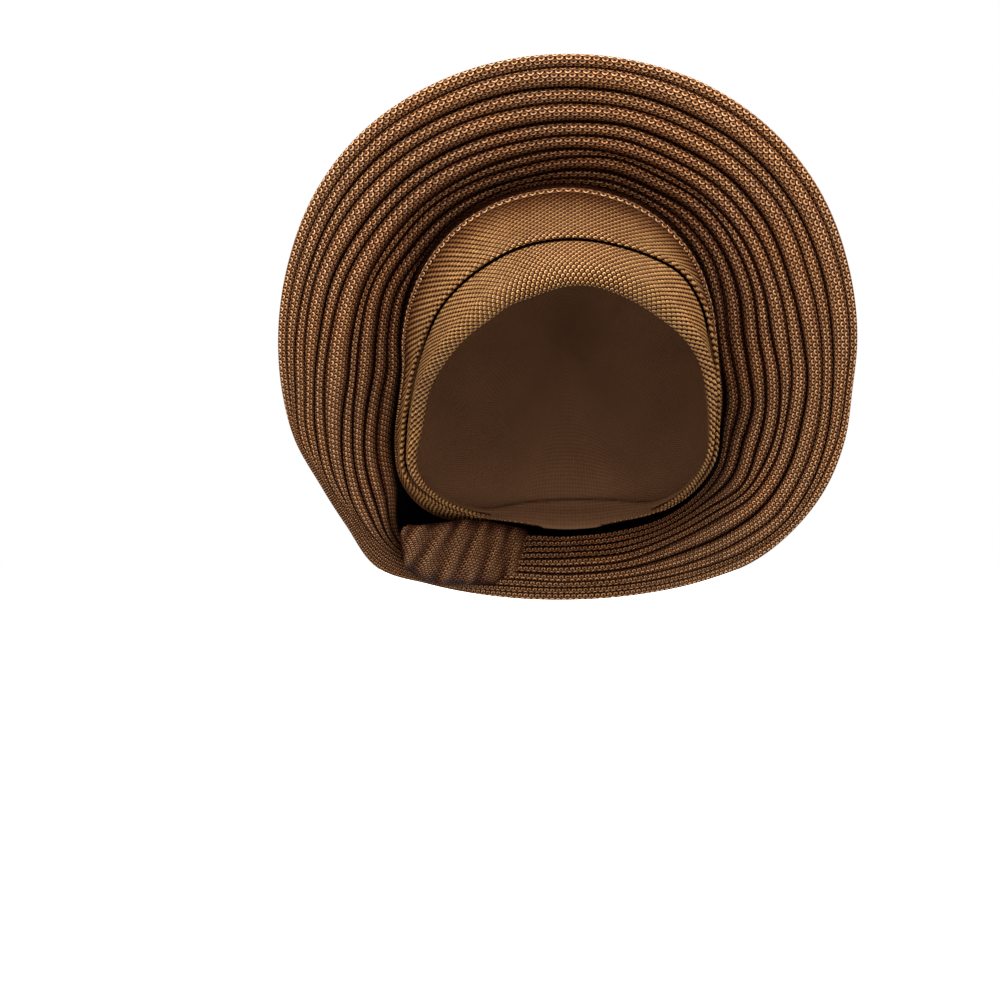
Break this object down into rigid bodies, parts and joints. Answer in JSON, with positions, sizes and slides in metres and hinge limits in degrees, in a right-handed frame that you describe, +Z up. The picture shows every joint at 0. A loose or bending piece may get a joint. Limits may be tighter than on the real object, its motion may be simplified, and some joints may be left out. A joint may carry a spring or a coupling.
{
  "type": "pleated head wrap turban",
  "caption": "Ready-tied turban: a close cap with a band round the face and a wide fan of pleats standing round it, in gold-thread brocade.",
  "frame": {"origin": "on top of the head inside the cap, where the wrap sits", "axes": "+Z up, the face looks along -Y, +X is the right side as the wrap is looked at from the front"},
  "size_m": [0.2897, 0.1946, 0.2731],
  "materials": {
    "fan_cloth": "satin brocade, gold thread rings on dark brown",
    "cap_cloth": "satin brocade stretched smooth, brighter gold",
    "back_cloth": "satin brocade"
  },
  "bodies": {
    "root": {"pleated_fan": "fan_cloth", "crown_cap": "cap_cloth", "brow_band": "cap_cloth", "back_wrap": "back_cloth", "side_tuck": "fan_cloth"}
  },
  "joints": []
}
